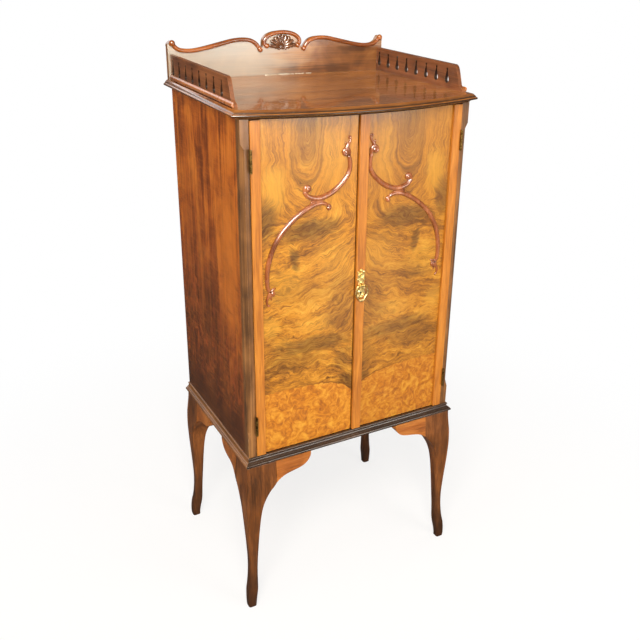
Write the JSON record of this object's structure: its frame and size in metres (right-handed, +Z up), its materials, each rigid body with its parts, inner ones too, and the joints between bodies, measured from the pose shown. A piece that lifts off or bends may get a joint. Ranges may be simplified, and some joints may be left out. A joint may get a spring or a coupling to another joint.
{
  "type": "music cabinet",
  "caption": "Free-standing music cabinet on cabriole legs: bow-fronted top with pierced gallery, veneered doors with carved scrolls, lock and ring pull, open shelves inside.",
  "frame": {"origin": "middle of the footprint on the floor, under the feet", "axes": "+Z up, -Y to the front with the doors, +X to the right as seen from the front"},
  "size_m": [0.564, 0.446, 1.2706],
  "materials": {
    "mahogany": "satin polish",
    "walnut": "gloss polish",
    "figured_walnut": "gloss polish",
    "carved_walnut": "gloss polish",
    "satinwood": "satin polish",
    "dark_walnut": "satin polish",
    "pine": "bare, darkened",
    "brass": "worn, lacquered",
    "screw_steel": "dull",
    "lock_steel": "dull"
  },
  "bodies": {
    "case": {"back_panel": "pine", "base_rail_back": "mahogany", "base_rail_front": "mahogany", "base_rail_left": "mahogany", "base_rail_right": "mahogany", "case_bottom": "pine", "crest_carving": "carved_walnut", "fret_beads": "walnut", "fret_left": "walnut", "fret_right": "walnut", "gallery_back_board": "walnut", "gallery_bead_arch": "carved_walnut", "gallery_bead_left": "carved_walnut", "gallery_bead_right": "carved_walnut", "hinge_screws_case": "screw_steel", "hinges_left_case": "brass", "hinges_right_case": "brass", "knee_blocks_back_left": "mahogany", "knee_blocks_back_right": "mahogany", "knee_blocks_front_left": "mahogany", "knee_blocks_front_right": "mahogany", "leg_back_left": "mahogany", "leg_back_right": "mahogany", "leg_front_left": "mahogany", "leg_front_right": "mahogany", "shelf_1": "pine", "shelf_2": "pine", "shelf_3": "pine", "shelf_4": "pine", "shelf_runners_left": "pine", "shelf_runners_right": "pine", "side_panel_left": "mahogany", "side_panel_right": "mahogany", "stile_left": "dark_walnut", "stile_right": "dark_walnut", "top_board": "walnut", "top_rail_back": "pine", "top_rail_front": "pine"},
    "left_door": {"door_left_core": "pine", "door_left_veneer": "figured_walnut", "door_left_strip": "satinwood", "door_left_scroll": "carved_walnut", "strike_plate": "brass", "bolt_plates": "brass", "hinges_left_door": "brass", "hinge_screws_left_door": "screw_steel"},
    "right_door": {"door_right_core": "pine", "door_right_veneer": "figured_walnut", "door_right_strip": "satinwood", "door_right_meeting_strip": "satinwood", "door_right_scroll": "carved_walnut", "lock_case": "lock_steel", "escutcheon": "brass", "hinges_right_door": "brass", "hinge_screws_right_door": "screw_steel"},
    "ring_pull": {"ring_pull": "brass"},
    "lock_bolt": {"lock_bolt": "brass"},
    "door_bolt_top": {"door_bolt_top": "brass"},
    "door_bolt_bottom": {"door_bolt_bottom": "brass"}
  },
  "joints": [
    {"name": "left_door_hinge", "type": "hinge", "parent": "case", "child": "left_door", "pos_m": [-0.2465, -0.177, 0.7805], "axis": [0, 0, -1], "range_deg": [0, 110]},
    {"name": "right_door_hinge", "type": "hinge", "parent": "case", "child": "right_door", "pos_m": [0.2465, -0.177, 0.7805], "axis": [0, 0, 1], "range_deg": [0, 110]},
    {"name": "ring_swing", "type": "hinge", "parent": "right_door", "child": "ring_pull", "pos_m": [0.005, -0.18, 0.776], "axis": [-1, 0, 0], "range_deg": [0, 90]},
    {"name": "lock_bolt_slide", "type": "slide", "parent": "right_door", "child": "lock_bolt", "axis": [-1, 0, 0], "range_m": [0, 0.009]},
    {"name": "top_bolt_slide", "type": "slide", "parent": "left_door", "child": "door_bolt_top", "axis": [0, 0, 1], "range_m": [0, 0.012]},
    {"name": "bottom_bolt_slide", "type": "slide", "parent": "left_door", "child": "door_bolt_bottom", "axis": [0, 0, -1], "range_m": [0, 0.012]}
  ]
}
